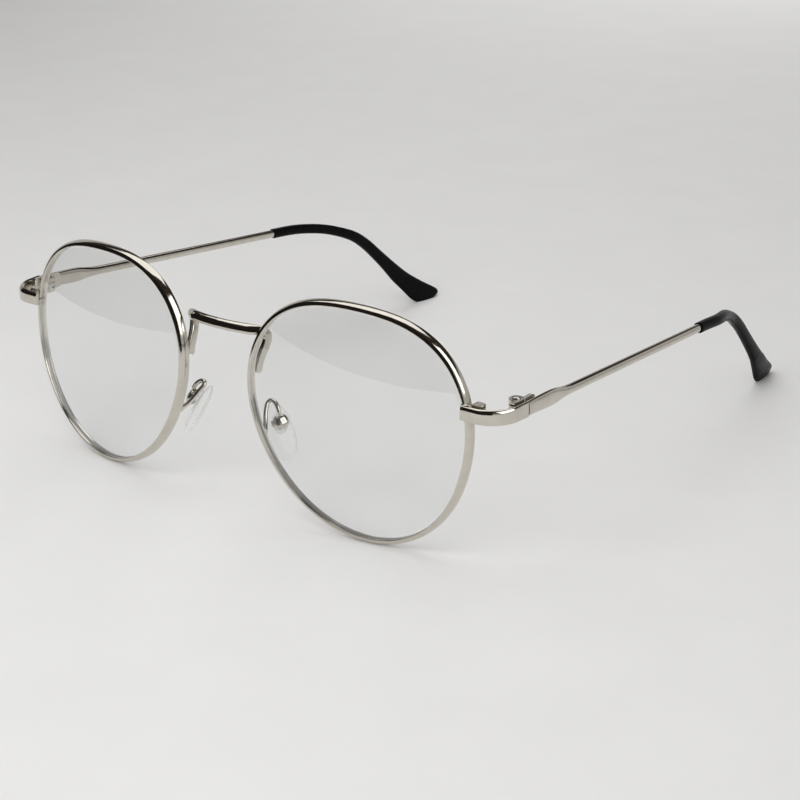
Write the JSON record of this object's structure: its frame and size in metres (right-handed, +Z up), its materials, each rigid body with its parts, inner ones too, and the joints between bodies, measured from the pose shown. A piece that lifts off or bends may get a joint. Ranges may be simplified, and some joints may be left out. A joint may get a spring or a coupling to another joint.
{
  "type": "blue light glasses",
  "caption": "Round wire-rimmed glasses with clear lenses, a saddle bridge, adjustable nose pads and folding temples with black moulded tips.",
  "frame": {"origin": "middle of the footprint, on the surface that the glasses stand on with the temples open", "axes": "+Z up, the front faces -Y and the temples run back along +Y, +X towards the wearer's left"},
  "size_m": [0.142, 0.1448, 0.0513],
  "materials": {
    "polished_metal": "polished nickel-silver wire and strip",
    "screw_steel": "small slotted steel screws",
    "clear_lens": "clear plastic lens with an anti-reflection coating",
    "clear_pad": "clear soft silicone",
    "clear_pad_core": "clear hard plastic core with its lug",
    "black_tip": "satin black moulded acetate"
  },
  "bodies": {
    "front": {"bridge": "polished_metal", "left_rim": "polished_metal", "left_lens": "clear_lens", "left_endpiece": "polished_metal", "left_closing_block_upper": "polished_metal", "left_closing_block_lower": "polished_metal", "left_closing_screw": "screw_steel", "left_hinge_front_leaf": "polished_metal", "left_hinge_screw": "screw_steel", "left_pad_arm": "polished_metal", "left_pad_box": "polished_metal", "left_pad_screw": "screw_steel", "right_rim": "polished_metal", "right_lens": "clear_lens", "right_endpiece": "polished_metal", "right_closing_block_upper": "polished_metal", "right_closing_block_lower": "polished_metal", "right_closing_screw": "screw_steel", "right_hinge_front_leaf": "polished_metal", "right_hinge_screw": "screw_steel", "right_pad_arm": "polished_metal", "right_pad_box": "polished_metal", "right_pad_screw": "screw_steel"},
    "left_temple_body": {"left_hinge_temple_leaf": "polished_metal", "left_temple": "polished_metal", "left_temple_tip": "black_tip"},
    "right_temple_body": {"right_hinge_temple_leaf": "polished_metal", "right_temple": "polished_metal", "right_temple_tip": "black_tip"},
    "left_pad_body": {"left_pad_core": "clear_pad_core", "left_nose_pad": "clear_pad"},
    "right_pad_body": {"right_pad_core": "clear_pad_core", "right_nose_pad": "clear_pad"}
  },
  "joints": [
    {"name": "left_temple_fold", "type": "hinge", "parent": "front", "child": "left_temple_body", "pos_m": [0.0679, -0.05665, 0.03335], "axis": [0, 0, 1], "range_deg": [0, 84.5]},
    {"name": "right_temple_fold", "type": "hinge", "parent": "front", "child": "right_temple_body", "pos_m": [-0.0679, -0.05665, 0.03335], "axis": [0, 0, -1], "range_deg": [0, 81.5]},
    {"name": "left_pad_rock", "type": "hinge", "parent": "front", "child": "left_pad_body", "pos_m": [0.01268, -0.06555, 0.0199], "axis": [-0.4982, -0.863, -0.0839], "range_deg": [-8, 8]},
    {"name": "right_pad_rock", "type": "hinge", "parent": "front", "child": "right_pad_body", "pos_m": [-0.01268, -0.06555, 0.0199], "axis": [-0.4982, 0.863, 0.0839], "range_deg": [-8, 8]}
  ]
}
